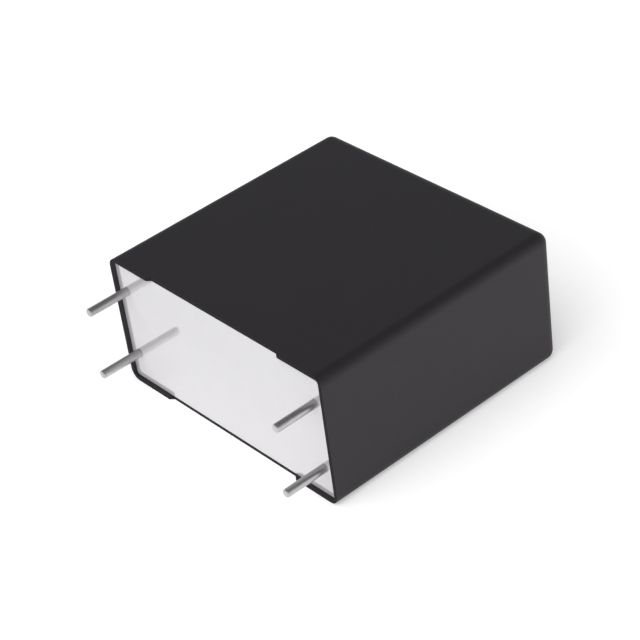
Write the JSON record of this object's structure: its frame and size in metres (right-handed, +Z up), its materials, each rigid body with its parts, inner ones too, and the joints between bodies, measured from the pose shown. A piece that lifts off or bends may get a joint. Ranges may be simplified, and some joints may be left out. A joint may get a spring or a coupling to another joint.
{
  "type": "box film capacitor",
  "caption": "Rectangular black film capacitor with radiused edges, a white resin face on its open side and straight round leads for a circuit board, lying on its broad side.",
  "frame": {"origin": "centre of the lead pattern, on the seating plane that the feet touch", "axes": "+Z up through the thickness as the part lies on its broad side; the leads point along -Y and the case runs along X"},
  "size_m": [0.042, 0.046, 0.02],
  "materials": {
    "case_plastic": "matte",
    "epoxy": "gloss",
    "tinned_wire": "satin",
    "film": "satin",
    "sprayed_zinc": "matte",
    "solder": "satin"
  },
  "bodies": {
    "root": {"case": "case_plastic", "potting": "epoxy", "film_winding": "film", "end_spray_left": "sprayed_zinc", "end_spray_right": "sprayed_zinc", "lead_left_lower": "tinned_wire", "lead_left_upper": "tinned_wire", "lead_right_lower": "tinned_wire", "lead_right_upper": "tinned_wire", "solder_left_lower": "solder", "solder_left_upper": "solder", "solder_right_lower": "solder", "solder_right_upper": "solder"}
  },
  "joints": []
}
